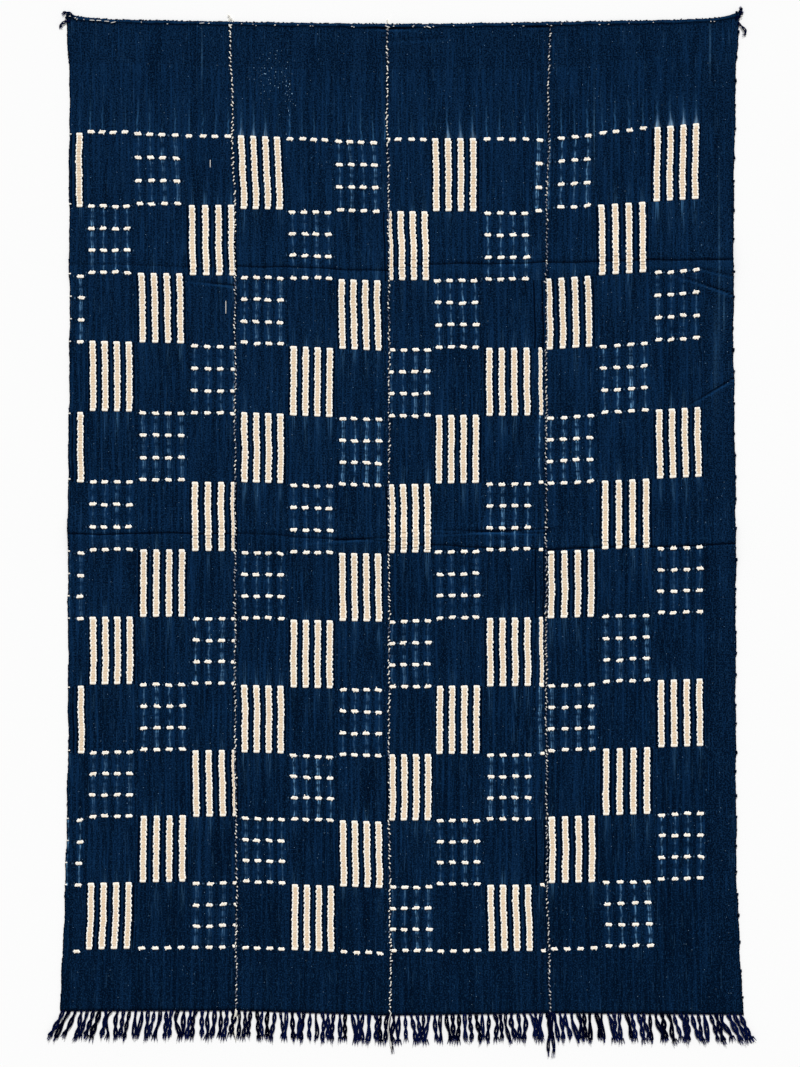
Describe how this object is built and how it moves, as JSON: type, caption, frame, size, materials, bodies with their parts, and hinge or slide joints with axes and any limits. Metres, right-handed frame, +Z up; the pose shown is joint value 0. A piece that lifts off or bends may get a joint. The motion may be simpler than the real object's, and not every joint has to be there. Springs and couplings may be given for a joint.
{
  "type": "indigo cloth",
  "caption": "Indigo cotton wrapper cloth of panels sewn edge to edge, woven with cream bars and dots in a chequer, hemmed at the top, fringed at the foot and lying flat, face up.",
  "frame": {"origin": "under the middle of the whole cloth, fringe included, on the surface it lies on", "axes": "+X across the width, +Y along the length towards the hemmed top, +Z up, out of the face"},
  "size_m": [1.1682, 1.7044, 0.0053],
  "materials": {
    "indigo_cotton": "matt handwoven cotton, deep indigo with paler warp streaks",
    "twisted_cotton": "matt twisted cotton strands, deep indigo",
    "cream_cotton": "matt soft cotton pattern weft and sewing thread, warm cream"
  },
  "bodies": {
    "root": {"panel_1": "indigo_cotton", "panel_2": "indigo_cotton", "panel_3": "indigo_cotton", "panel_4": "indigo_cotton", "fringe_1": "twisted_cotton", "fringe_2": "twisted_cotton", "fringe_3": "twisted_cotton", "fringe_4": "twisted_cotton"}
  },
  "joints": []
}
